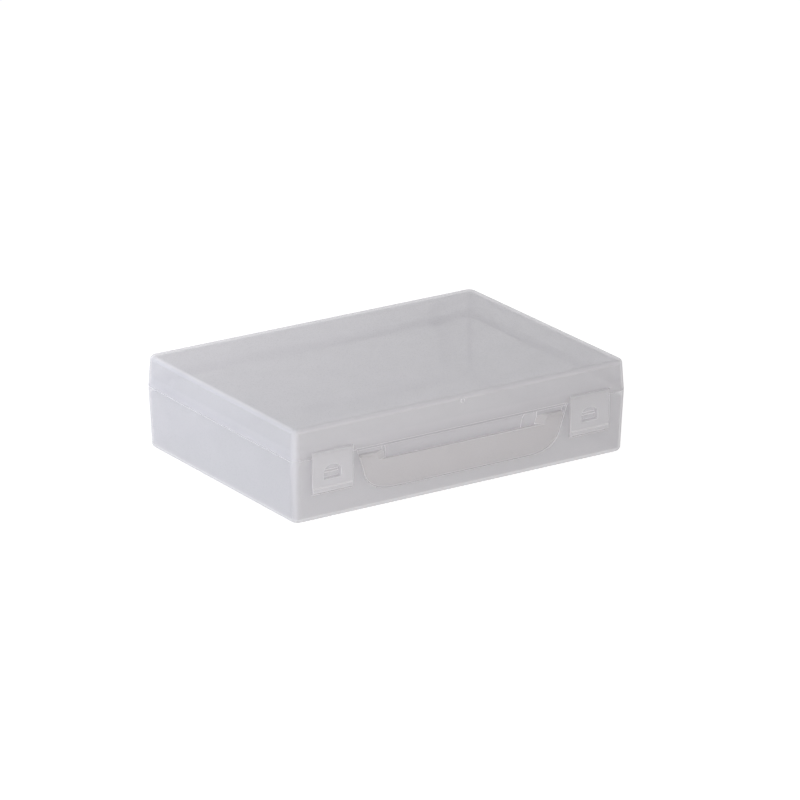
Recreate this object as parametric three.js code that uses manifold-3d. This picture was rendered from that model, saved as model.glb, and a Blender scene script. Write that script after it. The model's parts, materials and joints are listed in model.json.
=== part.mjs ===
// A flat carrying case moulded in milky translucent plastic: a base tray, a lid on two pin
// hinges, a handle that folds flat into a pocket in the front wall, and two latches.
// Millimetres, +Z up, +X to the right of someone who faces the latches, and -Y towards them.
// The origin is on the ground, under the middle of the case and its hinges.

import * as THREE from "three";
import { mergeVertices } from "three/addons/utils/BufferGeometryUtils.js";
import Module from "manifold-3d";

const wasm = await Module();
wasm.setup();

// Case
const caseWidth = 340;
const caseDepth = 240;
const baseHeight = 56;
const lidHeight = 28;
const wall = 2;
const floorThickness = 2.4;
const baseDraft = 2;
const lidDraft = 1.5;
const cornerRadius = 7.5;
const bottomRounding = 4;
const topRounding = 3.5;
const innerRounding = 3;

// Rim, where the lid sits over the base
const seamGap = 0.3;
const lipHeight = 9;
const lipThickness = 1.6;
const lipClearance = 0.3;
const lipTaper = 0.2;
const lipChamfer = 0.6;
const rimBandHeight = 4;
const rimBandSlope = 3;

// Fits
const clearance = 0.3;
const pinPlay = 0.3;
const sidePlay = 0.4;

// Handle and its pocket
const pocketLatchGap = 4;
const pocketSideLean = 7;
const pocketCornerLean = 4;
const pocketCornerWidth = 34;
const pocketBottom = 15;
const pocketCornerRise = 19;
const pocketShelf = 2.5;
const handleGap = 0.7;
const handleThickness = 4;
const handleRecess = 0.2;
const handleBoss = 0.3;
const handlePivotDrop = 8.5;
const gripDrop = 14.5;
const armWidth = 14.8;
const armRampWidth = 9;
const armLean = 3;
const handlePinRadius = 1.2;
const handlePinReach = 12;
const handlePinBite = 4.2;

// Finger scoop behind the handle
const scoopDepth = 15;
const scoopEndGap = 0.5;
const scoopEndSlope = 14;
const scoopBottom = 22;
const scoopTopDrop = 3;
const scoopTopDepth = 7;
const scoopBelly = 36;

// Latches
const latchSetback = 39;
const latchWidth = 40;
const latchBottom = 24;
const latchThickness = 2.8;
const latchRecess = 0.2;
const latchBoss = 0.3;
const latchPinRadius = 1;
const latchPinWall = 1;
const latchPinRise = 2.7;
const latchCheek = 3;
const latchPinBite = 2;
const latchTipRounding = 1.2;
const latchGripLength = 5;
const latchGripHeight = 0.5;
const windowWidth = 17;
const windowRise = 11.5;
const windowHeight = 12;
const windowShoulderHeight = 5;
const keeperGap = 0.8;
const keeperRoot = 1;

// Hinges on the back wall
const hingeSetback = 33;
const hingeKnuckle = 8.8;
const hingeOffset = 4;
const knuckleRadius = 3.5;
const hingePinRadius = 1.25;
const baseRibBottom = 12;
const lidRibDrop = 8;
const ribFoot = 0.6;
const ribRoot = 1;

// Facets of round stretches
const cornerSteps = 6;
const roundingSteps = 3;
const curveSteps = 8;
const pinSides = 20;
const boreSides = 20;
const knuckleSides = 32;

// Cutters run past what they cut by this much
const overrun = 1;

const seam = baseHeight;
const lidBottom = seam + seamGap;
const lidTop = seam + lidHeight;
const lipOuterInset = wall + lipClearance;
const lipInnerInset = lipOuterInset + lipThickness;
const frontAtSeam = -caseDepth / 2;
const backAtSeam = caseDepth / 2;
const draftAngle = Math.atan2(baseDraft, baseHeight);

// How far the drafted wall stands inside the rim at a height.
function baseInset(z) {
  return baseDraft * (1 - z / baseHeight);
}

function lidInset(z) {
  return lidDraft * ((z - seam) / lidHeight);
}

// Solids

function solid(geometry) {
  const bare = new THREE.BufferGeometry();
  bare.setAttribute("position", geometry.getAttribute("position"));
  if (geometry.index) bare.setIndex(geometry.index);
  const merged = mergeVertices(bare);
  return new wasm.Manifold(
    new wasm.Mesh({
      numProp: 3,
      vertProperties: merged.attributes.position.array,
      triVerts: new Uint32Array(merged.index.array),
    }),
  );
}

function geometryOf(manifold) {
  const made = manifold.getMesh();
  const stride = made.numProp;
  const places = new Float32Array(made.numVert * 3);
  for (let i = 0; i < made.numVert; i++) {
    places.set(made.vertProperties.subarray(i * stride, i * stride + 3), i * 3);
  }
  const geometry = new THREE.BufferGeometry();
  geometry.setAttribute("position", new THREE.BufferAttribute(places, 3));
  geometry.setIndex(new THREE.BufferAttribute(made.triVerts, 1));
  geometry.computeVertexNormals();
  return geometry;
}

// A closed skin through rings of points that all turn the same way, first ring to last.
function loft(rings) {
  const count = rings[0].length;
  const places = rings.flat();
  const triangles = [];
  for (let level = 0; level + 1 < rings.length; level++) {
    const lower = level * count;
    const upper = lower + count;
    for (let i = 0; i < count; i++) {
      const next = (i + 1) % count;
      triangles.push(lower + i, lower + next, upper + next);
      triangles.push(lower + i, upper + next, upper + i);
    }
  }
  for (const [ring, first, outward] of [
    [rings[0], 0, -1],
    [rings[rings.length - 1], (rings.length - 1) * count, 1],
  ]) {
    const middle = new THREE.Vector3();
    ring.forEach((point) => middle.add(point));
    middle.divideScalar(count);
    const hub = places.length;
    places.push(middle);
    for (let i = 0; i < count; i++) {
      const a = first + i;
      const b = first + ((i + 1) % count);
      if (outward > 0) triangles.push(hub, a, b);
      else triangles.push(hub, b, a);
    }
  }
  const geometry = new THREE.BufferGeometry().setFromPoints(places);
  geometry.setIndex(triangles);
  return geometry;
}

// A level ring: a rectangle with round corners, drawn in from the case's outline by inset.
function ring(inset, z) {
  const halfX = caseWidth / 2 - inset;
  const halfY = caseDepth / 2 - inset;
  const radius = Math.max(cornerRadius - inset, innerRounding);
  const points = [];
  for (const [signX, signY, start] of [
    [1, 1, 0],
    [-1, 1, Math.PI / 2],
    [-1, -1, Math.PI],
    [1, -1, Math.PI * 1.5],
  ]) {
    for (let i = 0; i <= cornerSteps; i++) {
      const angle = start + (Math.PI / 2) * (i / cornerSteps);
      const x = signX * (halfX - radius) + radius * Math.cos(angle);
      const y = signY * (halfY - radius) + radius * Math.sin(angle);
      points.push(new THREE.Vector3(x, y, z));
    }
  }
  return points;
}

function box(lowX, highX, lowY, highY, lowZ, highZ) {
  const geometry = new THREE.BoxGeometry(highX - lowX, highY - lowY, highZ - lowZ);
  geometry.translate((lowX + highX) / 2, (lowY + highY) / 2, (lowZ + highZ) / 2);
  return solid(geometry);
}

// A rod or a bore cutter along X.
function rod(radius, lowX, highX, y, z, sides) {
  const geometry = new THREE.CylinderGeometry(radius, radius, highX - lowX, sides);
  geometry.rotateZ(Math.PI / 2);
  geometry.translate((lowX + highX) / 2, y, z);
  return solid(geometry);
}

// A shape drawn in X and Z, given thickness from lowY to highY.
function slabAlongY(shape, lowY, highY) {
  const geometry = new THREE.ExtrudeGeometry(shape, {
    depth: highY - lowY,
    bevelEnabled: false,
    curveSegments: curveSteps,
  });
  geometry.rotateX(Math.PI / 2);
  geometry.translate(0, highY, 0);
  return solid(geometry);
}

// A shape drawn in Y and Z, given thickness from lowX to highX.
function slabAlongX(shape, lowX, highX) {
  const geometry = new THREE.ExtrudeGeometry(shape, {
    depth: highX - lowX,
    bevelEnabled: false,
    curveSegments: curveSteps,
  });
  const turn = new THREE.Matrix4().makeBasis(
    new THREE.Vector3(0, 1, 0),
    new THREE.Vector3(0, 0, 1),
    new THREE.Vector3(1, 0, 0),
  );
  geometry.applyMatrix4(turn);
  geometry.translate(lowX, 0, 0);
  return solid(geometry);
}

function outline(points) {
  return new THREE.Shape(points.map(([a, b]) => new THREE.Vector2(a, b)));
}

// Places that several pieces share

const handlePivotZ = seam - handlePivotDrop;
const handleBarrelRadius = handleThickness / 2 + handleBoss;
const handlePivotInset = handleRecess + handleBarrelRadius;
const handlePivotY = frontAtSeam + baseInset(handlePivotZ) + handlePivotInset;
const pocketDepth = handlePivotInset + handleBarrelRadius + clearance;
const gripTop = seam - gripDrop;
const latchCentre = caseWidth / 2 - latchSetback;
const latchPivotZ = seam + latchPinRise;
const latchBarrelRadius = latchPinRadius + pinPlay + latchPinWall;
const latchPivotY = frontAtSeam + latchRecess + latchBarrelRadius;
const latchFront = frontAtSeam + latchRecess + latchBoss;
const latchPocketDepth = latchRecess + 2 * latchBarrelRadius + sidePlay;
const windowBottom = latchBottom + windowRise;
const latchPocketHalf = latchWidth / 2 + sidePlay;
const latchPocketBottom = latchBottom - sidePlay;
const latchPocketTop = latchPivotZ + latchBarrelRadius + clearance;
const pocketTopHalf = latchCentre - latchWidth / 2 - pocketLatchGap;
const pocketSideHalf = pocketTopHalf - pocketSideLean;
const pocketCornerHalf = pocketSideHalf - pocketCornerLean;
const pocketBottomHalf = pocketSideHalf - pocketCornerWidth;
const armInnerHalf = pocketSideHalf - handleGap - armWidth;
const scoopHalf = armInnerHalf - scoopEndGap;
const hingeCentre = caseWidth / 2 - hingeSetback;
const hingeY = backAtSeam + hingeOffset;

// Half the handle pocket's width at a height above its rounded corners.
function pocketHalfAt(z) {
  const cornerTop = pocketBottom + pocketCornerRise;
  const share = (z - cornerTop) / (seam - cornerTop);
  return pocketSideHalf + (pocketTopHalf - pocketSideHalf) * share;
}

// The handle pocket's outline, drawn in by shrink and ended at top.
function pocketOutline(shrink, top) {
  const cornerTop = pocketBottom + pocketCornerRise;
  const bottom = pocketBottom + shrink;
  const topHalf = pocketHalfAt(top) - shrink;
  const sideHalf = pocketSideHalf - shrink;
  const controlHalf = pocketCornerHalf - shrink;
  const shape = new THREE.Shape();
  shape.moveTo(-topHalf, top);
  shape.lineTo(-sideHalf, cornerTop);
  shape.quadraticCurveTo(-controlHalf, bottom, -pocketBottomHalf, bottom);
  shape.lineTo(pocketBottomHalf, bottom);
  shape.quadraticCurveTo(controlHalf, bottom, sideHalf, cornerTop);
  shape.lineTo(topHalf, top);
  shape.closePath();
  return shape;
}

// The finger scoop: a bowed trough along X whose ends slope, grown by grow all round.
function scoop(grow) {
  const mouth = frontAtSeam - overrun;
  const top = seam - scoopTopDrop + grow;
  const bottom = scoopBottom - grow;
  const profile = new THREE.Shape();
  profile.moveTo(mouth, bottom);
  profile.lineTo(mouth, top);
  profile.lineTo(frontAtSeam + scoopTopDepth + grow, top);
  profile.quadraticCurveTo(
    frontAtSeam + scoopDepth + grow,
    top,
    frontAtSeam + scoopDepth + grow,
    scoopBelly,
  );
  profile.quadraticCurveTo(
    frontAtSeam + scoopDepth + grow,
    bottom,
    frontAtSeam + baseDraft + pocketDepth,
    bottom,
  );
  profile.closePath();
  const trough = slabAlongX(profile, -scoopHalf - grow, scoopHalf + grow);
  const near = (scoopEndSlope / scoopDepth) * overrun;
  const back = frontAtSeam + scoopDepth + grow + overrun;
  const backHalf = scoopHalf + grow - (scoopEndSlope / scoopDepth) * (back - frontAtSeam);
  const sloped = outline([
    [-scoopHalf - grow - near, mouth],
    [scoopHalf + grow + near, mouth],
    [backHalf, back],
    [-backHalf, back],
  ]);
  const geometry = new THREE.ExtrudeGeometry(sloped, {
    depth: seam,
    bevelEnabled: false,
  });
  return trough.intersect(solid(geometry));
}

// The handle's pocket: its floor follows the drafted wall, so that the handle lies parallel to
// it. A shallow strip at the top leaves a shelf that carries the rim's lip.
function pocket() {
  const mouth = frontAtSeam - overrun;
  const deepest = frontAtSeam + baseDraft + pocketDepth;
  const under = slabAlongY(pocketOutline(0, seam - pocketShelf), mouth, deepest);
  const drafted = slabAlongX(
    outline([
      [mouth, 0],
      [deepest, 0],
      [frontAtSeam + pocketDepth, seam],
      [mouth, seam],
    ]),
    -caseWidth / 2,
    caseWidth / 2,
  );
  const strip = slabAlongY(pocketOutline(0, seam), mouth, frontAtSeam + wall);
  return under.intersect(drafted).add(strip);
}

function latchPocket(side, grow, top) {
  const centre = side * latchCentre;
  const half = latchPocketHalf + (grow > 0 ? latchCheek : 0);
  return box(
    centre - half,
    centre + half,
    frontAtSeam - overrun,
    frontAtSeam + latchPocketDepth + grow,
    latchPocketBottom - grow,
    top,
  );
}

// The D-shaped window's outline: a flat bottom, upright sides and a round top.
function windowOutline(centre, shrink) {
  const half = windowWidth / 2 - shrink;
  const bottom = windowBottom + shrink;
  const shoulder = windowBottom + windowShoulderHeight;
  const top = windowBottom + windowHeight - shrink;
  const shape = new THREE.Shape();
  shape.moveTo(centre - half, bottom);
  shape.lineTo(centre + half, bottom);
  shape.lineTo(centre + half, shoulder);
  shape.quadraticCurveTo(centre + half, top, centre, top);
  shape.quadraticCurveTo(centre - half, top, centre - half, shoulder);
  shape.closePath();
  return shape;
}

// A hinge knuckle with its rib: a round barrel at the hinge line, and a web that runs from it
// along the wall to ribEnd.
function knuckle(lowX, highX, wallYAt, rimZ, ribEnd) {
  const away = Math.sign(ribEnd - seam);
  const tangent = Math.PI / 4;
  const rib = outline([
    [wallYAt(rimZ) - ribRoot, rimZ],
    [hingeY, rimZ],
    [hingeY + knuckleRadius * Math.sin(tangent), seam + away * knuckleRadius * Math.cos(tangent)],
    [wallYAt(ribEnd) + ribFoot, ribEnd],
    [wallYAt(ribEnd) - ribRoot, ribEnd],
  ]);
  return slabAlongX(rib, lowX, highX).add(
    rod(knuckleRadius, lowX, highX, hingeY, seam, knuckleSides),
  );
}

// Pieces

function baseShell() {
  const outerRings = [];
  for (let i = 0; i <= roundingSteps; i++) {
    const angle = (Math.PI / 2) * (i / roundingSteps);
    const z = bottomRounding * (1 - Math.cos(angle));
    outerRings.push(ring(baseInset(z) + bottomRounding * (1 - Math.sin(angle)), z));
  }
  outerRings.push(ring(0, seam));
  const lipTop = seam + lipHeight;
  const lip = loft([
    ring(lipOuterInset, seam - rimBandHeight / 2),
    ring(lipOuterInset + lipTaper, lipTop - lipChamfer),
    ring(lipOuterInset + lipTaper + lipChamfer, lipTop),
  ]);
  const bandBottom = seam - rimBandHeight;
  const bandFoot = bandBottom - rimBandSlope;
  const insideFoot = floorThickness + innerRounding;
  const hollow = solid(
    loft([
      ring(baseInset(floorThickness) + wall + innerRounding, floorThickness),
      ring(baseInset(insideFoot) + wall, insideFoot),
      ring(baseInset(bandFoot) + wall, bandFoot),
      ring(lipInnerInset, bandBottom),
      ring(lipInnerInset, lipTop + overrun),
    ]),
  );
  const outer = solid(loft(outerRings));
  const inner = frontAtSeam + pocketDepth + baseDraft + wall;
  let front = slabAlongY(pocketOutline(-wall, seam), frontAtSeam, inner);
  front = front.add(scoop(wall));
  for (const side of [-1, 1]) front = front.add(latchPocket(side, wall, seam));
  const kept = front.intersect(outer);
  let body = outer.add(solid(lip)).subtract(hollow.subtract(kept));
  body = body.subtract(pocket()).subtract(scoop(0));
  for (const side of [-1, 1]) {
    body = body.subtract(latchPocket(side, 0, seam + overrun));
    const centre = side * latchCentre;
    const half = latchPocketHalf + latchCheek + clearance;
    const lidBlockBack = frontAtSeam + latchPocketDepth + wall + clearance;
    body = body.subtract(
      box(centre - half, centre + half, frontAtSeam, lidBlockBack, seam, lipTop + overrun),
    );
    body = body.add(keeper(side));
    const pinEnd = handlePinEnd() + clearance;
    const bore = handlePinRadius + pinPlay;
    const [low, high] = side < 0 ? [-pinEnd, 0] : [0, pinEnd];
    body = body.subtract(
      rod(bore, low, high, handlePivotY, handlePivotZ, boreSides),
    );
    body = body.add(baseKnuckle(side));
    body = body.subtract(hingeBore(side));
  }
  return body;
}

// A wedge behind the latch's window: its flat underside is where the catch holds, and its
// top is a ramp for the catch to ride over. It ends short of the latch's inner face.
function keeper(side) {
  const floor = frontAtSeam + latchPocketDepth;
  const face = latchFront + latchThickness + clearance;
  const top = windowBottom + windowHeight - keeperGap;
  const block = slabAlongY(windowOutline(side * latchCentre, keeperGap), face, floor + keeperRoot);
  const ramp = slabAlongX(
    outline([
      [face - overrun, windowBottom],
      [floor + keeperRoot, windowBottom],
      [floor + keeperRoot, top],
      [floor - clearance, top],
      [face, windowBottom + windowShoulderHeight],
      [face - overrun, windowBottom + windowShoulderHeight],
    ]),
    side * latchCentre - windowWidth,
    side * latchCentre + windowWidth,
  );
  return block.intersect(ramp);
}

// Half the handle's length along its pivot line.
function handleEndHalf() {
  return pocketHalfAt(handlePivotZ - handleBarrelRadius - overrun) - handleGap;
}

function handlePinEnd() {
  return pocketHalfAt(handlePivotZ) + handlePinBite;
}

function baseKnuckle(side) {
  const near = hingeCentre + sidePlay / 2;
  const far = near + hingeKnuckle;
  const [low, high] = side < 0 ? [-far, -near] : [near, far];
  return knuckle(low, high, (z) => backAtSeam - baseInset(z), seam, baseRibBottom);
}

function lidKnuckle(side) {
  const far = hingeCentre - sidePlay / 2;
  const near = far - hingeKnuckle;
  const [low, high] = side < 0 ? [-far, -near] : [near, far];
  return knuckle(low, high, (z) => backAtSeam - lidInset(z), lidBottom, lidTop - lidRibDrop);
}

function hingeBore(side) {
  const half = hingeKnuckle + sidePlay;
  const centre = side * hingeCentre;
  const radius = hingePinRadius + pinPlay;
  return rod(radius, centre - half - overrun, centre + half + overrun, hingeY, seam, boreSides);
}

function lidShell() {
  const outerRings = [ring(lidInset(lidBottom), lidBottom)];
  for (let i = 0; i <= roundingSteps; i++) {
    const angle = (Math.PI / 2) * (i / roundingSteps);
    const z = lidTop - topRounding * (1 - Math.sin(angle));
    outerRings.push(ring(lidInset(z) + topRounding * (1 - Math.cos(angle)), z));
  }
  const ceiling = lidTop - wall;
  const insideShoulder = ceiling - innerRounding;
  const hollow = solid(
    loft([
      ring(wall, lidBottom - overrun),
      ring(lidInset(insideShoulder) + wall, insideShoulder),
      ring(lidInset(ceiling) + wall + innerRounding, ceiling),
    ]),
  );
  const outer = solid(loft(outerRings));
  const blockTop = latchPocketTop + wall;
  let kept = latchPocket(-1, wall, blockTop).add(latchPocket(1, wall, blockTop));
  kept = kept.intersect(outer);
  let body = outer.subtract(hollow.subtract(kept));
  for (const side of [-1, 1]) {
    body = body.subtract(latchPocket(side, 0, latchPocketTop));
    body = body.subtract(latchBore(side));
    body = body.add(lidKnuckle(side));
    body = body.subtract(hingeBore(side));
  }
  return body;
}

function latchPinHalf() {
  return latchPocketHalf + latchPinBite;
}

function latchBore(side) {
  const half = latchPinHalf() + clearance;
  const centre = side * latchCentre;
  const radius = latchPinRadius + pinPlay;
  return rod(radius, centre - half, centre + half, latchPivotY, latchPivotZ, boreSides);
}

function latch(side) {
  const centre = side * latchCentre;
  const low = centre - latchWidth / 2;
  const high = centre + latchWidth / 2;
  const front = latchFront;
  const back = front + latchThickness;
  const tip = latchBottom + latchTipRounding;
  const gripTopZ = latchBottom + latchGripLength;
  const profile = new THREE.Shape();
  profile.moveTo(front, latchPivotZ);
  profile.lineTo(front, gripTopZ);
  profile.lineTo(front - latchGripHeight, gripTopZ - latchGripHeight);
  profile.lineTo(front - latchGripHeight, tip);
  profile.lineTo(front + latchTipRounding - latchGripHeight, latchBottom);
  profile.lineTo(back - latchTipRounding, latchBottom);
  profile.lineTo(back, tip);
  profile.lineTo(back, latchPivotZ);
  profile.closePath();
  const plate = slabAlongX(profile, low, high);
  const barrel = rod(latchBarrelRadius, low, high, latchPivotY, latchPivotZ, knuckleSides);
  const window = slabAlongY(windowOutline(centre, 0), front - overrun, back + overrun);
  return plate.add(barrel).subtract(window).subtract(latchBore(side));
}

// The handle, drawn upright about its pivot line: it is tilted afterwards to lie along the
// drafted front wall.
function handle() {
  const front = -handleThickness / 2;
  const back = handleThickness / 2;
  const rise = (shape) => slabAlongY(shape, front, back).translate(0, 0, -handlePivotZ);
  const plate = rise(pocketOutline(handleGap, handlePivotZ));
  const endHalf = handleEndHalf();
  const barrel = rod(handleBarrelRadius, -endHalf, endHalf, 0, 0, knuckleSides);
  const low = gripTop - handlePivotZ;
  const high = handleBarrelRadius + overrun;
  const openingRing = (share) => {
    const lowHalf = armInnerHalf - armRampWidth * share;
    const highHalf = lowHalf + armLean;
    const y = front + handleThickness * share;
    return [
      new THREE.Vector3(-lowHalf, y, low),
      new THREE.Vector3(lowHalf, y, low),
      new THREE.Vector3(highHalf, y, high),
      new THREE.Vector3(-highHalf, y, high),
    ];
  };
  const reachShare = overrun / handleThickness;
  const opening = solid(loft([openingRing(1 + reachShare), openingRing(-reachShare)]));
  const bore = handlePinRadius + pinPlay;
  const inner = endHalf - handlePinReach - clearance;
  const outer = endHalf + handleGap + overrun;
  let body = plate.add(barrel).subtract(opening);
  body = body.subtract(rod(bore, inner, outer, 0, 0, boreSides));
  return body.subtract(rod(bore, -outer, -inner, 0, 0, boreSides));
}

// Colours

const milky = { roughness: 0.38, metalness: 0 };
const shellLook = { color: 0xd3d3da, ...milky };
const lidLook = { color: 0xd9d8de, ...milky };
const handleLook = { color: 0xc9c6c8, ...milky };
const latchLook = { color: 0xdcdce2, ...milky };
const pinLook = { color: 0xe2e2e6, ...milky };

const transitCase = new THREE.Group();
// The hinge knuckles reach past the back wall, so the case sits forward by half of that.
transitCase.position.y = -(hingeOffset + knuckleRadius) / 2;

function piece(name, manifold, look, parent = transitCase) {
  const mesh = new THREE.Mesh(geometryOf(manifold), new THREE.MeshStandardMaterial(look));
  mesh.name = name;
  parent.add(mesh);
  return mesh;
}

piece("base_shell", baseShell(), shellLook);
piece("lid_shell", lidShell(), lidLook);

const foldedHandle = new THREE.Group();
foldedHandle.position.set(0, handlePivotY, handlePivotZ);
foldedHandle.rotation.x = draftAngle;
transitCase.add(foldedHandle);
piece("handle", handle(), handleLook, foldedHandle);

for (const [sideName, side] of [
  ["left", -1],
  ["right", 1],
]) {
  const pinStart = handleEndHalf() - handlePinReach;
  const [pinLow, pinHigh] =
    side < 0 ? [-handlePinEnd(), -pinStart] : [pinStart, handlePinEnd()];
  const handlePin = rod(handlePinRadius, pinLow, pinHigh, handlePivotY, handlePivotZ, pinSides);
  piece(`${sideName}_handle_pin`, handlePin, pinLook);

  piece(`${sideName}_latch`, latch(side), latchLook);
  const latchX = side * latchCentre;
  const latchPin = rod(
    latchPinRadius,
    latchX - latchPinHalf(),
    latchX + latchPinHalf(),
    latchPivotY,
    latchPivotZ,
    pinSides,
  );
  piece(`${sideName}_latch_pin`, latchPin, pinLook);

  const hingeX = side * hingeCentre;
  const hingeHalf = hingeKnuckle + sidePlay / 2 - clearance;
  const hingePin = rod(
    hingePinRadius,
    hingeX - hingeHalf,
    hingeX + hingeHalf,
    hingeY,
    seam,
    pinSides,
  );
  piece(`${sideName}_hinge_pin`, hingePin, pinLook);
}

export default transitCase;
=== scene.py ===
"""The looks of a milky plastic transit case: its mouldings, its finishes and the studio."""

import json
import logging
import math
from collections.abc import Callable
from dataclasses import dataclass, field
from enum import Enum
from typing import Any

import bmesh
import bpy
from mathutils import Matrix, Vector


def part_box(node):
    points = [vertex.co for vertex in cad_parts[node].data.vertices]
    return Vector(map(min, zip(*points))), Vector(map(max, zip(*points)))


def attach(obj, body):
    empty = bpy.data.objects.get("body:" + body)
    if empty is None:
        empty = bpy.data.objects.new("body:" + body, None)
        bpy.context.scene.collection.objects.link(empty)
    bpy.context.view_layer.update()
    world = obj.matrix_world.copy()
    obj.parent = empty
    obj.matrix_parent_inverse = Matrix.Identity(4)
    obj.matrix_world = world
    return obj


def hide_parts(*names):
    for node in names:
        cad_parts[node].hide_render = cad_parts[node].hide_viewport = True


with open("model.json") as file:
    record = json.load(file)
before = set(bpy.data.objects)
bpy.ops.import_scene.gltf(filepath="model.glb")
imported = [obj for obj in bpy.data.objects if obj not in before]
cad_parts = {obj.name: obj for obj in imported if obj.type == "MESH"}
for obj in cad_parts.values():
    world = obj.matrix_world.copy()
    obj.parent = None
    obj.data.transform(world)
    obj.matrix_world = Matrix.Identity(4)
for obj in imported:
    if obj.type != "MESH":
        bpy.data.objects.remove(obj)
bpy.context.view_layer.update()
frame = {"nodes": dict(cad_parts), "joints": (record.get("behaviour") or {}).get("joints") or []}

LOG = logging.getLogger("transit_case")
MM = 0.001
BORE_SIDES = 20
# A face looks along an axis when its normal goes this far along it.
FACING = 0.9
# Millimetres within which an edge counts as lying at a height.
SAME_LEVEL = 0.01
WHITE = (1.0, 1.0, 1.0, 1.0)

Piece = bpy.types.Object
Colour = tuple[float, float, float]
Point = tuple[float, float]
Corner = tuple[float, float, float]
Inset = Callable[[float], float]
Test = Callable[[Vector, Vector], bool]
Settings = dict[str, Any]
Inputs = dict[Any, Any]


class Axis(Enum):
    """The axis that an outline is given thickness along."""

    X = 0
    Y = 1


class Side(Enum):
    """A side of the case, for someone who faces the latches."""

    LEFT = -1
    RIGHT = 1

    def span(self, near: float, far: float) -> Point:
        """Gives the lower and upper X of a stretch on this side."""
        return (near, far) if self is Side.RIGHT else (-far, -near)


class Sock:
    """One value or shader in a graph. Python's operators on it add Math nodes."""

    def __init__(self, graph: "Graph", socket: bpy.types.NodeSocket) -> None:
        """Keeps the socket and the graph that new nodes go to."""
        self.graph = graph
        self.socket = socket

    def _math(self, operation: str, first: Any, second: Any) -> "Sock":
        """Adds a Math node that works on two values or links."""
        return self.graph.value("ShaderNodeMath", {"operation": operation}, {0: first, 1: second})

    def __add__(self, other: Any) -> "Sock":
        """Adds a value or a link."""
        return self._math("ADD", self, other)

    __radd__ = __add__

    def __sub__(self, other: Any) -> "Sock":
        """Takes a value or a link away."""
        return self._math("SUBTRACT", self, other)

    def __rsub__(self, other: Any) -> "Sock":
        """Takes this away from a value."""
        return self._math("SUBTRACT", other, self)

    def __mul__(self, other: Any) -> "Sock":
        """Multiplies by a value or a link."""
        return self._math("MULTIPLY", self, other)

    __rmul__ = __mul__

    def size(self) -> "Sock":
        """Gives this without its sign."""
        return self._math("ABSOLUTE", self, 0.0)

    def most(self, other: Any) -> "Sock":
        """Gives the larger of this and another."""
        return self._math("MAXIMUM", self, other)


class Graph:
    """The nodes of a material or of the world."""

    def __init__(self, owner: bpy.types.Material | bpy.types.World) -> None:
        """Starts the owner's nodes afresh.

        Args:
            owner: The material or the world that the nodes are for.
        """
        owner.use_nodes = True
        self.tree = owner.node_tree
        self.tree.nodes.clear()

    def add(self, kind: str, settings: Settings, inputs: Inputs) -> bpy.types.Node:
        """Adds one node.

        Args:
            kind: The node's type.
            settings: Its own properties, set before its sockets.
            inputs: Values or links, by the socket's name or number.

        Returns:
            The node.
        """
        node = self.tree.nodes.new(kind)
        for name, value in settings.items():
            setattr(node, name, value)
        for key, value in inputs.items():
            if isinstance(value, Sock):
                self.tree.links.new(value.socket, node.inputs[key])
            else:
                node.inputs[key].default_value = value
        return node

    def value(self, kind: str, settings: Settings, inputs: Inputs, out: Any = 0) -> Sock:
        """Adds one node and gives one of its outputs."""
        return Sock(self, self.add(kind, settings, inputs).outputs[out])

    def fade(self, value: Sock, start: float, end: float) -> Sock:
        """Goes smoothly from 0 to 1 as a value goes from start to end.

        Args:
            value: The value.
            start: Where the result is 0, in millimetres.
            end: Where the result is 1.

        Returns:
            The result.
        """
        smooth = {"interpolation_type": "SMOOTHSTEP"}
        levels = {"Value": value, "From Min": start * MM, "From Max": end * MM}
        return self.value("ShaderNodeMapRange", smooth, levels, "Result")

    def mix(self, share: Sock, first: Any, second: Any) -> Sock:
        """Mixes two colours: a share of 0 gives the first and 1 the second."""
        inputs = {"Factor": share, "A": first, "B": second}
        return self.value("ShaderNodeMix", {"data_type": "RGBA"}, inputs, "Result")

    def places(self, place: Sock) -> list[Sock]:
        """Splits a place into its X, Y and Z."""
        node = self.add("ShaderNodeSeparateXYZ", {}, {"Vector": place})
        return [Sock(self, node.outputs[axis]) for axis in "XYZ"]

    def seen(self) -> Sock:
        """Gives 1 to sight, in reflections and through glass too, and 0 to other light.

        Returns:
            The mask.
        """
        path = self.add("ShaderNodeLightPath", {}, {})
        names = ("Is Camera Ray", "Is Glossy Ray", "Is Transmission Ray")
        camera, glossy, through = (Sock(self, path.outputs[name]) for name in names)
        return camera.most(glossy).most(through)


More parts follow.
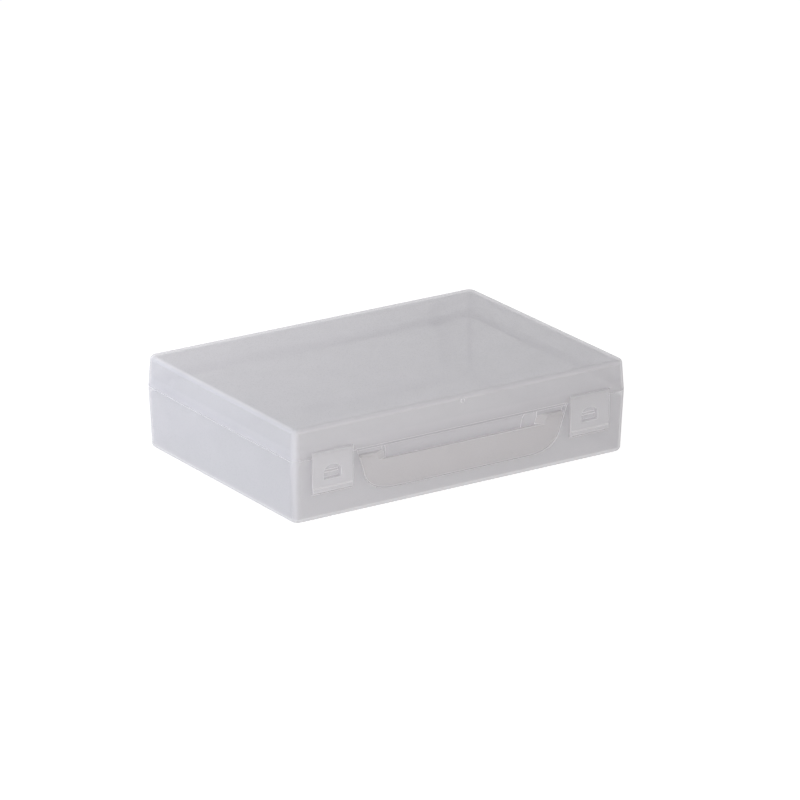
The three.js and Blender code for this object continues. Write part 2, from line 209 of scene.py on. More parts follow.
class Bench:
    """Modelling by hand with ready-made operators. Sizes are in millimetres."""

    MERGED_GAP = 0.02
    FLAT_ANGLE = math.radians(0.3)
    EDGE_ANGLE = math.radians(40.0)

    @staticmethod
    def clear() -> None:
        """Leaves edit mode and selects nothing."""
        if bpy.context.mode != "OBJECT":
            bpy.ops.object.mode_set(mode="OBJECT")
        bpy.ops.object.select_all(action="DESELECT")

    @classmethod
    def take(cls, piece: Piece) -> None:
        """Selects one piece alone and makes it active.

        Args:
            piece: The piece.
        """
        cls.clear()
        piece.select_set(True)
        bpy.context.view_layer.objects.active = piece

    @classmethod
    def edit(cls, piece: Piece, action: str = "SELECT") -> None:
        """Enters edit mode on one piece.

        Args:
            piece: The piece.
            action: SELECT for all of its mesh, or DESELECT for none.
        """
        cls.take(piece)
        bpy.ops.object.mode_set(mode="EDIT")
        bpy.ops.mesh.select_all(action=action)

    @classmethod
    def settle(cls, piece: Piece, name: str) -> Piece:
        """Names a piece and moves its place into its mesh.

        Args:
            piece: The piece.
            name: Its name.

        Returns:
            The piece.
        """
        cls.take(piece)
        bpy.ops.object.transform_apply(location=True, rotation=True, scale=True)
        piece.name = name
        piece.data.name = name
        return piece

    @classmethod
    def block(cls, name: str, low: Corner, high: Corner) -> Piece:
        """Adds a box.

        Args:
            name: The piece's name.
            low: Its lowest corner.
            high: Its highest corner.

        Returns:
            The box.
        """
        cls.clear()
        centre = [(a + b) / 2 * MM for a, b in zip(low, high)]
        spans = [(b - a) * MM for a, b in zip(low, high)]
        bpy.ops.mesh.primitive_cube_add(size=1.0, location=centre, scale=spans)
        return cls.settle(bpy.context.object, name)

    @classmethod
    def rod(
        cls, name: str, radius: float, span: Point, y: float, z: float, sides: int = BORE_SIDES
    ) -> Piece:
        """Adds a round rod along X.

        Args:
            name: The piece's name.
            radius: The rod's radius.
            span: Its lower and upper X.
            y: Where its axis lies along Y.
            z: Where its axis lies along Z.
            sides: How many sides it has.

        Returns:
            The rod.
        """
        cls.clear()
        bpy.ops.mesh.primitive_cylinder_add(
            vertices=sides,
            radius=radius * MM,
            depth=(span[1] - span[0]) * MM,
            location=((span[0] + span[1]) / 2 * MM, y * MM, z * MM),
            rotation=(0.0, math.pi / 2, 0.0),
        )
        return cls.settle(bpy.context.object, name)

    @classmethod
    def plate(cls, name: str, outline: list[Point], axis: Axis, low: float, high: float) -> Piece:
        """Adds an outline's plate: a disc shaped to the outline and extruded.

        Args:
            name: The piece's name.
            outline: Its corners, in the two axes that it isn't extruded along.
            axis: The axis that it is extruded along.
            low: Where it starts along that axis.
            high: Where it ends.

        Returns:
            The plate.
        """
        cls.clear()
        bpy.ops.mesh.primitive_circle_add(vertices=len(outline), fill_type="NGON")
        piece = bpy.context.object
        for vertex, (a, b) in zip(piece.data.vertices, outline):
            place = (low, a, b) if axis is Axis.X else (a, low, b)
            vertex.co = [value * MM for value in place]
        step = [0.0, 0.0, 0.0]
        step[axis.value] = high - low
        cls.edit(piece)
        cls.extrude(*step)
        bpy.ops.mesh.select_all(action="SELECT")
        bpy.ops.mesh.normals_make_consistent(inside=False)
        return cls.settle(piece, name)

    @classmethod
    def _pick_from(cls, piece: Piece, kind: str) -> bmesh.types.BMesh:
        """Enters edit mode with nothing selected.

        Args:
            piece: The piece.
            kind: What is picked next, FACE or EDGE.

        Returns:
            The piece's mesh.
        """
        cls.edit(piece, "DESELECT")
        bpy.ops.mesh.select_mode(type=kind)
        return bmesh.from_edit_mesh(piece.data)

    @classmethod
    def pick_faces(cls, piece: Piece, test: Test) -> None:
        """Enters edit mode and selects faces.

        Args:
            piece: The piece.
            test: Says which, from a face's centre and its normal.
        """
        for face in cls._pick_from(piece, "FACE").faces:
            face.select_set(test(face.calc_center_median() / MM, face.normal))
        bmesh.update_edit_mesh(piece.data)

    @classmethod
    def pick_edges(cls, piece: Piece, test: Test) -> None:
        """Enters edit mode and selects edges.

        Args:
            piece: The piece.
            test: Says which, from an edge's two ends.
        """
        for edge in cls._pick_from(piece, "EDGE").edges:
            edge.select_set(test(edge.verts[0].co / MM, edge.verts[1].co / MM))
        bmesh.update_edit_mesh(piece.data)

    @staticmethod
    def extrude(x: float, y: float, z: float) -> None:
        """Extrudes what is selected by a step."""
        step = (x * MM, y * MM, z * MM)
        bpy.ops.mesh.extrude_region_move(TRANSFORM_OT_translate={"value": step})

    @staticmethod
    def resize(ratio_x: float, ratio_y: float, middle: float) -> None:
        """Resizes what is selected about the upright line at X 0 and a middle Y."""
        centre = (0.0, middle * MM, 0.0)
        bpy.ops.transform.resize(value=(ratio_x, ratio_y, 1.0), center_override=centre)

    @staticmethod
    def bevel(offset: float, segments: int) -> None:
        """Rounds the selected edges."""
        bpy.ops.mesh.bevel(offset=offset * MM, segments=segments, profile=0.5, affect="EDGES")

    @classmethod
    def bisect(cls, piece: Piece, point: Corner, away: Corner) -> None:
        """Cuts off what lies past a plane and closes the cut.

        Args:
            piece: The piece to cut.
            point: A point on the plane.
            away: The plane's normal, on the side that is cut off.
        """
        cls.edit(piece)
        place = [value * MM for value in point]
        bpy.ops.mesh.bisect(plane_co=place, plane_no=away, use_fill=True, clear_outer=True)
        cls.clear()

    @classmethod
    def combine(cls, piece: Piece, tool: Piece, operation: str) -> None:
        """Joins a tool to a piece or cuts it away, and uses the tool up.

        Args:
            piece: The piece that stays.
            tool: The other body.
            operation: UNION or DIFFERENCE.
        """
        cls.take(piece)
        modifier = piece.modifiers.new("combine", "BOOLEAN")
        modifier.operation = operation
        modifier.solver = "EXACT"
        modifier.object = tool
        bpy.ops.object.modifier_apply(modifier=modifier.name)
        bpy.data.objects.remove(tool)

    @classmethod
    def cut(cls, piece: Piece, *tools: Piece) -> None:
        """Cuts tools out of a piece."""
        for tool in tools:
            cls.combine(piece, tool, "DIFFERENCE")

    @classmethod
    def join(cls, piece: Piece, *tools: Piece) -> None:
        """Joins tools to a piece."""
        for tool in tools:
            cls.combine(piece, tool, "UNION")

    @classmethod
    def soften(
        cls, piece: Piece, finishes: "Finishes", softness: float, segments: int = 2
    ) -> None:
        """Dresses and cleans a piece, and softens its edges, as a mould does.

        Args:
            piece: The piece.
            finishes: The piece's finishes. Its softened edges take the one for edges, a near-white
                painted highlight.
            softness: How wide its softened edges are.
            segments: How many faces round each edge.
        """
        cls.take(piece)
        finishes.dress(piece)
        cls.edit(piece)
        bpy.ops.mesh.remove_doubles(threshold=cls.MERGED_GAP * MM)
        bpy.ops.mesh.dissolve_limited(angle_limit=cls.FLAT_ANGLE)
        bpy.ops.mesh.vert_connect_concave()
        bpy.ops.object.mode_set(mode="OBJECT")
        rounding = piece.modifiers.new("softened_edges", "BEVEL")
        rounding.width = softness * MM
        rounding.segments = segments
        rounding.limit_method = "ANGLE"
        rounding.angle_limit = cls.EDGE_ANGLE
        rounding.use_clamp_overlap = False
        # The softened edges take the near-white edge finish: a painted highlight.
        rounding.material = Finishes.EDGE
        bpy.ops.object.modifier_apply(modifier=rounding.name)

    @classmethod
    def shade(cls, piece: Piece, crease: float = 32.0) -> None:
        """Shades a piece smoothly over its softened edges and keeps its flats flat.

        Args:
            piece: The piece.
            crease: The angle between two faces, in degrees, from which their edge stays sharp.
        """
        cls.edit(piece)
        bpy.ops.mesh.vert_connect_concave()
        bpy.ops.mesh.quads_convert_to_tris(quad_method="BEAUTY", ngon_method="BEAUTY")
        bpy.ops.object.mode_set(mode="OBJECT")
        bpy.ops.object.shade_smooth_by_angle(angle=math.radians(crease))
        flats = piece.modifiers.new("even_flats", "WEIGHTED_NORMAL")
        flats.keep_sharp = True
        bpy.ops.object.modifier_apply(modifier=flats.name)


@dataclass(frozen=True)
class Finishes:
    """The finishes of a moulding's walls, dense places, softened edges and thin places; the
    softened edges' finish is a near-white painted highlight.
    """

    WALL = 0
    DENSE = 1
    EDGE = 2
    THIN = 3

    wall: bpy.types.Material
    dense: bpy.types.Material
    edge: bpy.types.Material
    thin: bpy.types.Material

    def dress(self, piece: Piece) -> None:
        """Puts the finishes on a piece, with its walls' finish all over.

        Args:
            piece: The piece.
        """
        piece.data.materials.clear()
        for material in (self.wall, self.dense, self.edge, self.thin):
            piece.data.materials.append(material)
        for face in piece.data.polygons:
            face.material_index = self.WALL


@dataclass(frozen=True)
class CaseSizes:
    """Sizes that several mouldings share, in millimetres, in the frame's own axes."""

    half_width: float
    front: float
    hinge_y: float
    seam: float
    top: float
    handle_pivot: Corner
    latch_pivot: Corner
    wall: float = 2.0
    floor: float = 2.4
    base_draft: float = 2.0
    lid_draft: float = 1.5
    corner: float = 7.5
    bottom_rounding: float = 4.0
    top_rounding: float = 3.5
    inner_rounding: float = 3.0
    seam_gap: float = 0.3
    hinge_offset: float = 4.0
    clearance: float = 0.3
    side_play: float = 0.4
    pin_play: float = 0.3
    overrun: float = 1.0
    corner_segments: int = 10
    edge_segments: int = 6

    @classmethod
    def from_frame(cls) -> "CaseSizes":
        """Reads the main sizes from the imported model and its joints.

        Returns:
            The sizes that every moulding is made to.
        """
        base_low, base_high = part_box("base_shell")
        lid_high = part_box("lid_shell")[1]
        places = {j["name"]: tuple(v / MM for v in j["pos_m"]) for j in frame["joints"]}
        hinge = places["lid_hinge"]
        return cls(
            half_width=base_high.x / MM,
            front=base_low.y / MM,
            hinge_y=hinge[1],
            seam=hinge[2],
            top=lid_high.z / MM,
            handle_pivot=places["handle_pivot"],
            latch_pivot=places["right_latch_pivot"],
        )

    @property
    def back(self) -> float:
        """Where the back wall stands at the seam."""
        return self.hinge_y - self.hinge_offset

    @property
    def middle(self) -> float:
        """Halfway between the front and back walls."""
        return (self.front + self.back) / 2

    @property
    def half_depth(self) -> float:
        """Half the case's depth at the seam."""
        return (self.back - self.front) / 2

    @property
    def lid_bottom(self) -> float:
        """The lid's lower edge."""
        return self.seam + self.seam_gap

    @property
    def draft_angle(self) -> float:
        """How far the base's walls lean in towards the floor, in radians."""
        return math.atan2(self.base_draft, self.seam)

    def base_inset(self, z: float) -> float:
        """How far the base's wall stands inside the rim at a height."""
        return self.base_draft * (1 - z / self.seam)

    def lid_inset(self, z: float) -> float:
        """How far the lid's wall stands inside the rim at a height."""
        return self.lid_draft * (z - self.seam) / (self.top - self.seam)

    def narrow(self, inset: float, new_inset: float) -> None:
        """Resizes what is selected, about the case's middle line.

        Args:
            inset: How far inside the rim it stands.
            new_inset: How far inside the rim it is to stand.
        """
        ratio_x = (self.half_width - new_inset) / (self.half_width - inset)
        ratio_y = (self.half_depth - new_inset) / (self.half_depth - inset)
        Bench.resize(ratio_x, ratio_y, self.middle)

    def moulded_block(self, name: str, levels: tuple[Point, Point], corner: float) -> Piece:
        """Adds a block with leaning walls and round upright corners.

        Args:
            name: The block's name.
            levels: The height and inset of its lower end, and of its upper end.
            corner: The radius of its upright corners.

        Returns:
            The block.
        """
        (low_z, low_inset), (high_z, high_inset) = levels
        half_x = self.half_width - low_inset
        half_y = self.half_depth - low_inset
        low = (-half_x, self.middle - half_y, low_z)
        high = (half_x, self.middle + half_y, high_z)
        piece = Bench.block(name, low, high)
        Bench.pick_faces(piece, lambda centre, normal: normal.z > FACING)
        self.narrow(low_inset, high_inset)
        Bench.pick_edges(piece, lambda a, b: abs(a.z - b.z) > (high_z - low_z) / 2)
        Bench.bevel(corner, self.corner_segments)
        return piece

    def round_end(self, piece: Piece, z: float, radius: float) -> None:
        """Rounds the edges round a block's flat end at a height."""
        Bench.pick_edges(piece, lambda a, b: max(abs(a.z - z), abs(b.z - z)) < SAME_LEVEL)
        Bench.bevel(radius, self.edge_segments)


def curve_points(start: Point, control: Point, end: Point, steps: int) -> list[Point]:
    """Gives the points of a bend between two straights.

    Args:
        start: Where the bend leaves the first straight.
        control: Where the two straights would meet.
        end: Where it joins the second.
        steps: How many stretches it has.

    Returns:
        The points, from start to end.
    """
    points = []
    for index in range(steps + 1):
        t = index / steps
        weights = ((1 - t) ** 2, 2 * t * (1 - t), t * t)
        corners = (start, control, end)
        points.append(tuple(sum(w * c[axis] for w, c in zip(weights, corners)) for axis in (0, 1)))
    return points


def arc_points(centre: Point, radius: float, start: float, end: float, steps: int) -> list[Point]:
    """Gives the points of an arc.

    Args:
        centre: The arc's centre.
        radius: Its radius.
        start: The angle where it starts, in radians.
        end: The angle where it ends.
        steps: How many stretches it has.

    Returns:
        The points, from start to end.
    """
    angles = [start + (end - start) * index / steps for index in range(steps + 1)]
    return [(centre[0] + radius * math.cos(a), centre[1] + radius * math.sin(a)) for a in angles]


def mirrored(half: list[Point]) -> list[Point]:
    """Completes an outline from its right half, which runs from the bottom up."""
    return half + [(-x, z) for x, z in reversed(half)]


@dataclass
class Fittings:
    """The pockets and windows that several pieces meet in."""

    sizes: CaseSizes
    latch_width: float = 40.0
    latch_bottom: float = 24.0
    latch_recess: float = 0.2
    latch_boss: float = 0.3
    latch_thickness: float = 2.8
    latch_cheek: float = 3.0
    latch_pin_radius: float = 1.0
    latch_pin_wall: float = 1.0
    latch_pin_bite: float = 2.0
    window_width: float = 17.0
    window_rise: float = 11.5
    window_height: float = 12.0
    window_shoulder: float = 5.0
    pocket_latch_gap: float = 4.0
    pocket_side_lean: float = 7.0
    pocket_corner_lean: float = 4.0
    pocket_corner_width: float = 34.0
    pocket_bottom: float = 15.0
    pocket_corner_rise: float = 19.0
    pocket_shelf: float = 2.5
    handle_gap: float = 0.7
    handle_thickness: float = 4.0
    handle_recess: float = 0.2
    handle_boss: float = 0.3
    handle_pin_radius: float = 1.2
    handle_pin_bite: float = 4.2
    handle_pin_reach: float = 12.0
    arm_width: float = 14.8
    curve_steps: int = 14

    @property
    def latch_centre(self) -> float:
        """How far a latch's middle is from the case's."""
        return self.sizes.latch_pivot[0]

    @property
    def latch_barrel(self) -> float:
        """The radius of a latch's barrel."""
        return self.latch_pin_radius + self.sizes.pin_play + self.latch_pin_wall

    @property
    def latch_front(self) -> float:
        """Where a latch's flat front stands."""
        return self.sizes.front + self.latch_recess + self.latch_boss

    @property
    def latch_pocket_half(self) -> float:
        """Half the width of a latch's pocket."""
        return self.latch_width / 2 + self.sizes.side_play

    @property
    def latch_pocket_depth(self) -> float:
        """How deep a latch's pocket is."""
        return self.latch_recess + 2 * self.latch_barrel + self.sizes.side_play

    @property
    def latch_pocket_top(self) -> float:
        """The upper edge of a latch's pocket, in the lid."""
        return self.sizes.latch_pivot[2] + self.latch_barrel + self.sizes.clearance

    @property
    def window_bottom(self) -> float:
        """The lower edge of a latch's window."""
        return self.latch_bottom + self.window_rise

    @property
    def handle_barrel(self) -> float:
        """The radius of the handle's barrel."""
        return self.handle_thickness / 2 + self.handle_boss

    @property
    def handle_bore(self) -> float:
        """The radius of the bores that the handle's pins turn in."""
        return self.handle_pin_radius + self.sizes.pin_play

    @property
    def pocket_depth(self) -> float:
        """How deep the handle's pocket is at the seam."""
        return self.handle_recess + 2 * self.handle_barrel + self.sizes.clearance

    @property
    def pocket_top_half(self) -> float:
        """Half the pocket's width at the seam."""
        return self.latch_centre - self.latch_width / 2 - self.pocket_latch_gap

    @property
    def pocket_side_half(self) -> float:
        """Half the pocket's width where its corners begin."""
        return self.pocket_top_half - self.pocket_side_lean

    @property
    def pocket_corner_top(self) -> float:
        """The height where the pocket's corners end."""
        return self.pocket_bottom + self.pocket_corner_rise

    def pocket_half_at(self, z: float) -> float:
        """Half the pocket's width at a height above its corners."""
        share = (z - self.pocket_corner_top) / (self.sizes.seam - self.pocket_corner_top)
        return self.pocket_side_half + self.pocket_side_lean * share

    def pocket_outline(self, shrink: float, top: float) -> list[Point]:
        """Gives the handle pocket's outline in X and Z.

        Args:
            shrink: How far it is drawn in.
            top: Where it ends.

        Returns:
            Its corners.
        """
        bottom = self.pocket_bottom + shrink
        side = self.pocket_side_half - shrink
        flat_half = self.pocket_side_half - self.pocket_corner_width
        control = (side - self.pocket_corner_lean, bottom)
        end = (side, self.pocket_corner_top)
        bend = curve_points((flat_half, bottom), control, end, self.curve_steps)
        return mirrored([*bend, (self.pocket_half_at(top) - shrink, top)])

    def window_outline(self, shrink: float) -> list[Point]:
        """Gives a latch window's outline about its middle, in X and Z.

        Args:
            shrink: How far it is drawn in.

        Returns:
            Its corners.
        """
        half = self.window_width / 2 - shrink
        bottom = self.window_bottom + shrink
        shoulder = self.window_bottom + self.window_shoulder
        top = self.window_bottom + self.window_height - shrink
        bend = curve_points((half, shoulder), (half, top), (0.0, top), self.curve_steps)
        right = [(half, bottom), *bend]
        left = [(-x, z) for x, z in reversed(right[:-1])]
        return right + left

    def at_latch(self, side: Side, outline: list[Point]) -> list[Point]:
        """Moves an outline from the middle to a latch."""
        return [(x + side.value * self.latch_centre, z) for x, z in outline]

    def latch_space(self, side: Side, grow: float, top: float) -> Piece:
        """Adds the block that a latch's pocket takes, or that its walls fill.

        Args:
            side: Which latch.
            grow: The thickness of its walls, or 0 for the pocket.
            top: Where it ends.

        Returns:
            The block.
        """
        centre = side.value * self.latch_centre
        half = self.latch_pocket_half + (self.latch_cheek if grow > 0 else 0.0)
        lower = self.latch_bottom - self.sizes.side_play - grow
        low = (centre - half, self.sizes.front - self.sizes.overrun, lower)
        high = (centre + half, self.sizes.front + self.latch_pocket_depth + grow, top)
        return Bench.block("latch_space", low, high)

    def latch_bore(self, centre: float) -> Piece:
        """Adds the rod that bores a latch and the lid's ears.

        Args:
            centre: The X of its middle.

        Returns:
            The rod.
        """
        half = self.latch_pocket_half + self.latch_pin_bite + self.sizes.clearance
        radius = self.latch_pin_radius + self.sizes.pin_play
        _, y, z = self.sizes.latch_pivot
        return Bench.rod("bore", radius, (centre - half, centre + half), y, z)


@dataclass
class Hinge:
    """The knuckles of a pin hinge, with a rib each along the wall."""

    sizes: CaseSizes
    centre: float = 137.0
    length: float = 8.8
    radius: float = 3.5
    pin_radius: float = 1.25
    base_rib_bottom: float = 12.0
    lid_rib_drop: float = 8.0
    rib_foot: float = 0.6
    rib_root: float = 1.0
    rib_proud: float = 0.08
    rib_lean: float = math.pi / 4
    barrel_steps: int = 30

    def knuckle(self, span: Point, rim: float, rib_end: float, inset: Inset) -> Piece:
        """Adds a barrel with the rib that carries it.

        Args:
            span: Its lower and upper X.
            rim: The height of the wall's edge beside it.
            rib_end: The height where its rib runs out.
            inset: How far the wall stands inside the rim at a height.

        Returns:
            The knuckle.
        """
        sizes = self.sizes
        away = math.copysign(1.0, rib_end - sizes.seam)
        start = math.pi - math.asin(away * (sizes.seam - rim) / self.radius)
        axis = (sizes.hinge_y, 0.0)
        arc = arc_points(axis, self.radius, start, -self.rib_lean, self.barrel_steps)
        outline = [
            (sizes.back - inset(rim) - self.rib_root, rim),
            *[(y, sizes.seam - away * rise) for y, rise in arc],
            (sizes.back - inset(rib_end) + self.rib_foot, rib_end),
            (sizes.back - inset(rib_end) - self.rib_root, rib_end),
        ]
        return Bench.plate("knuckle", outline, Axis.X, *span)

    def base_knuckle(self, side: Side) -> Piece:
        """Adds the outer knuckle, which the base carries.

        Args:
            side: The side that it is on.

        Returns:
            The knuckle.
        """
        near = self.centre + self.sizes.side_play / 2
        span = side.span(near, near + self.length)
        return self.knuckle(span, self.sizes.seam, self.base_rib_bottom, self.sizes.base_inset)

    def lid_knuckle(self, side: Side) -> Piece:
        """Adds the inner knuckle, which the lid carries.

        Args:
            side: The side that it is on.

        Returns:
            The knuckle.
        """
        far = self.centre - self.sizes.side_play / 2
        span = side.span(far - self.length, far)
        end = self.sizes.top - self.lid_rib_drop
        return self.knuckle(span, self.sizes.lid_bottom, end, self.sizes.lid_inset)

    def dress_rib(self, piece: Piece, inset: Inset) -> None:
        """Gives the rib and barrel behind the back wall the finish of a dense place.

        Args:
            piece: The tray or the lid.
            inset: How far its wall stands inside the rim at a height.
        """
        for face in piece.data.polygons:
            x, y, z = face.center / MM
            beside = abs(abs(x) - self.centre) < self.length + self.sizes.overrun
            proud = y > self.sizes.back - inset(z) + self.rib_proud
            if beside and proud and face.material_index == Finishes.WALL:
                face.material_index = Finishes.DENSE

    def bore(self, side: Side) -> Piece:
        """Adds the rod that bores both knuckles.

        Args:
            side: The side that they are on.

        Returns:
            The rod.
        """
        half = self.length + self.sizes.side_play + self.sizes.overrun
        span = side.span(self.centre - half, self.centre + half)
        radius = self.pin_radius + self.sizes.pin_play
        return Bench.rod("bore", radius, span, self.sizes.hinge_y, self.sizes.seam)


@dataclass
class BaseMoulding:
    """The tray: floor, walls, rim lip, handle pocket, finger scoop and latch pockets."""

    sizes: CaseSizes
    fittings: Fittings
    hinge: Hinge
    finishes: Finishes
    lip_height: float = 9.0
    lip_thickness: float = 1.6
    lip_taper: float = 0.45
    lip_chamfer: float = 0.6
    band_height: float = 4.0
    band_slope: float = 3.0
    scoop_depth: float = 15.0
    scoop_end_gap: float = 0.5
    scoop_end_slope: float = 14.0
    scoop_bottom: float = 22.0
    scoop_top_drop: float = 3.0
    scoop_top_depth: float = 7.0
    scoop_belly: float = 36.0
    keeper_gap: float = 0.8
    keeper_root: float = 1.0
    softness: float = 0.35

    @property
    def lip_outer(self) -> float:
        """How far the lip's outer face stands inside the rim."""
        return self.sizes.wall + self.sizes.clearance

    @property
    def lip_inner(self) -> float:
        """How far the lip's inner face stands inside the rim."""
        return self.lip_outer + self.lip_thickness

    @property
    def lip_top(self) -> float:
        """The lip's upper edge."""
        return self.sizes.seam + self.lip_height

    def build(self) -> Piece:
        """Models the tray.

        Returns:
            The finished moulding.
        """
        base = self._outside()
        core = self._core()
        Bench.cut(core, self._pocket_walls(), self._scoop(self.sizes.wall))
        for side in Side:
            Bench.cut(core, self.fittings.latch_space(side, self.sizes.wall, self.sizes.seam))
        Bench.cut(base, core, *self._pocket(), self._scoop(0.0))
        for side in Side:
            top = self.sizes.seam + self.sizes.overrun
            Bench.cut(base, self.fittings.latch_space(side, 0.0, top), self._lip_gap(side))
            Bench.join(base, self._keeper(side), self.hinge.base_knuckle(side))
            Bench.cut(base, self._handle_bore(side), self.hinge.bore(side))
        Bench.soften(base, self.finishes, self.softness)
        Bench.shade(base)
        self.hinge.dress_rib(base, self.sizes.base_inset)
        self._dress_lip(base)
        return base

    def _outside(self) -> Piece:
        """Adds the solid that the tray is hollowed from, with its lip on top.

        Returns:
            The solid.
        """
        sizes = self.sizes
        levels = ((0.0, sizes.base_draft), (sizes.seam, 0.0))
        base = sizes.moulded_block("base_moulding", levels, sizes.corner)
        sizes.round_end(base, 0.0, sizes.bottom_rounding)
        upper = sizes.seam - sizes.overrun
        Bench.pick_faces(base, lambda centre, normal: normal.z > FACING and centre.z > upper)
        bpy.ops.mesh.inset(thickness=self.lip_outer * MM)
        Bench.extrude(0.0, 0.0, self.lip_height)
        sizes.narrow(self.lip_outer, self.lip_outer + self.lip_taper)
        bpy.ops.mesh.region_to_loop()
        Bench.bevel(self.lip_chamfer, 1)
        Bench.clear()
        return base

    def _core(self) -> Piece:
        """Adds the solid that the tray's inside takes, with its step under the rim.

        Returns:
            The solid.
        """
        sizes = self.sizes
        band = sizes.seam - self.band_height
        foot = band - self.band_slope
        floor_inset = sizes.base_inset(sizes.floor) + sizes.wall
        foot_inset = sizes.base_inset(foot) + sizes.wall
        levels = ((sizes.floor, floor_inset), (foot, foot_inset))
        core = sizes.moulded_block("core", levels, sizes.corner - sizes.wall)
        sizes.round_end(core, sizes.floor, sizes.inner_rounding)
        Bench.pick_faces(core, lambda centre, normal: normal.z > FACING)
        Bench.extrude(0.0, 0.0, self.band_slope)
        sizes.narrow(foot_inset, self.lip_inner)
        Bench.extrude(0.0, 0.0, self.lip_top + sizes.overrun - band)
        Bench.clear()
        return core

    def _pocket_walls(self) -> Piece:
        """Adds the block that the handle pocket's walls fill.

        Returns:
            The block.
        """
        sizes = self.sizes
        outline = self.fittings.pocket_outline(-sizes.wall, sizes.seam)
        inner = sizes.front + self.fittings.pocket_depth + sizes.base_draft + sizes.wall
        return Bench.plate("pocket_walls", outline, Axis.Y, sizes.front, inner)

    def _pocket(self) -> list[Piece]:
        """Adds the handle's pocket, with a floor parallel to the wall, and its strip at the rim.

        Returns:
            The two blocks to cut away.
        """
        sizes = self.sizes
        fittings = self.fittings
        mouth = sizes.front - sizes.overrun
        deepest = sizes.front + sizes.base_draft + fittings.pocket_depth
        shelf = sizes.seam - fittings.pocket_shelf
        outline = fittings.pocket_outline(0.0, shelf)
        under = Bench.plate("pocket", outline, Axis.Y, mouth, deepest)
        at_seam = (0.0, sizes.front + fittings.pocket_depth, sizes.seam)
        away = (0.0, math.cos(sizes.draft_angle), math.sin(sizes.draft_angle))
        Bench.bisect(under, at_seam, away)
        corners = [(fittings.pocket_half_at(z), z) for z in (shelf, sizes.seam)]
        strip = Bench.plate("strip", mirrored(corners), Axis.Y, mouth, sizes.front + sizes.wall)
        return [under, strip]

    def _scoop(self, grow: float) -> Piece:
        """Adds the finger scoop: a bowed trough along X whose ends slope.

        Args:
            grow: The thickness of its walls, or 0 for the hollow.

        Returns:
            The trough.
        """
        sizes = self.sizes
        fittings = self.fittings
        arm_inner = fittings.pocket_side_half - fittings.handle_gap - fittings.arm_width
        half = arm_inner - self.scoop_end_gap + grow
        mouth = sizes.front - sizes.overrun
        top = sizes.seam - self.scoop_top_drop + grow
        bottom = self.scoop_bottom - grow
        back = sizes.front + self.scoop_depth + grow
        belly = (back, self.scoop_belly)
        top_bend = (sizes.front + self.scoop_top_depth + grow, top)
        low_bend = (sizes.front + sizes.base_draft + fittings.pocket_depth, bottom)
        upper = curve_points(top_bend, (back, top), belly, fittings.curve_steps)
        lower = curve_points(belly, (back, bottom), low_bend, fittings.curve_steps)
        outline = [(mouth, bottom), (mouth, top), *upper, *lower[1:]]
        trough = Bench.plate("scoop", outline, Axis.X, -half, half)
        for side in Side:
            away = (side.value * self.scoop_depth, self.scoop_end_slope, 0.0)
            Bench.bisect(trough, (side.value * half, sizes.front, 0.0), away)
        return trough

    def _dress_lip(self, base: Piece) -> None:
        """Gives the lip, which is thinner than the walls, the finish of a thin place.

        Args:
            base: The tray.
        """
        for face in base.data.polygons:
            if face.center.z / MM > self.sizes.lid_bottom:
                face.material_index = Finishes.THIN

    def _lip_gap(self, side: Side) -> Piece:
        """Adds the block that clears the lip away where the lid's latch pocket comes down.

        Args:
            side: The side that it is on.

        Returns:
            The block to cut away.
        """
        sizes = self.sizes
        fittings = self.fittings
        centre = side.value * fittings.latch_centre
        half = fittings.latch_pocket_half + fittings.latch_cheek + sizes.clearance
        inner = sizes.front + fittings.latch_pocket_depth + sizes.wall + sizes.clearance
        low = (centre - half, sizes.front - sizes.overrun, sizes.seam)
        return Bench.block("lip_gap", low, (centre + half, inner, self.lip_top + sizes.overrun))

    def _keeper(self, side: Side) -> Piece:
        """Adds the wedge behind a latch's window, with its ramp on top.

        Args:
            side: Which latch.

        Returns:
            The wedge.
        """
        sizes = self.sizes
        fittings = self.fittings
        floor = sizes.front + fittings.latch_pocket_depth
        face = fittings.latch_front + fittings.latch_thickness + sizes.clearance
        outline = fittings.at_latch(side, fittings.window_outline(self.keeper_gap))
        wedge = Bench.plate("keeper", outline, Axis.Y, face, floor + self.keeper_root)
        shoulder = fittings.window_bottom + fittings.window_shoulder
        top = fittings.window_bottom + fittings.window_height - self.keeper_gap
        away = (0.0, shoulder - top, floor - sizes.clearance - face)
        Bench.bisect(wedge, (0.0, face, shoulder), away)
        return wedge

    def _handle_bore(self, side: Side) -> Piece:
        """Adds the rod that bores one side of the handle's pocket.

        Args:
            side: Which side.

        Returns:
            The rod.
        """
        _, y, z = self.sizes.handle_pivot
        wall = self.fittings.pocket_half_at(z)
        far = wall + self.fittings.handle_pin_bite + self.sizes.clearance
        span = side.span(wall - self.sizes.overrun, far)
        return Bench.rod("bore", self.fittings.handle_bore, span, y, z)


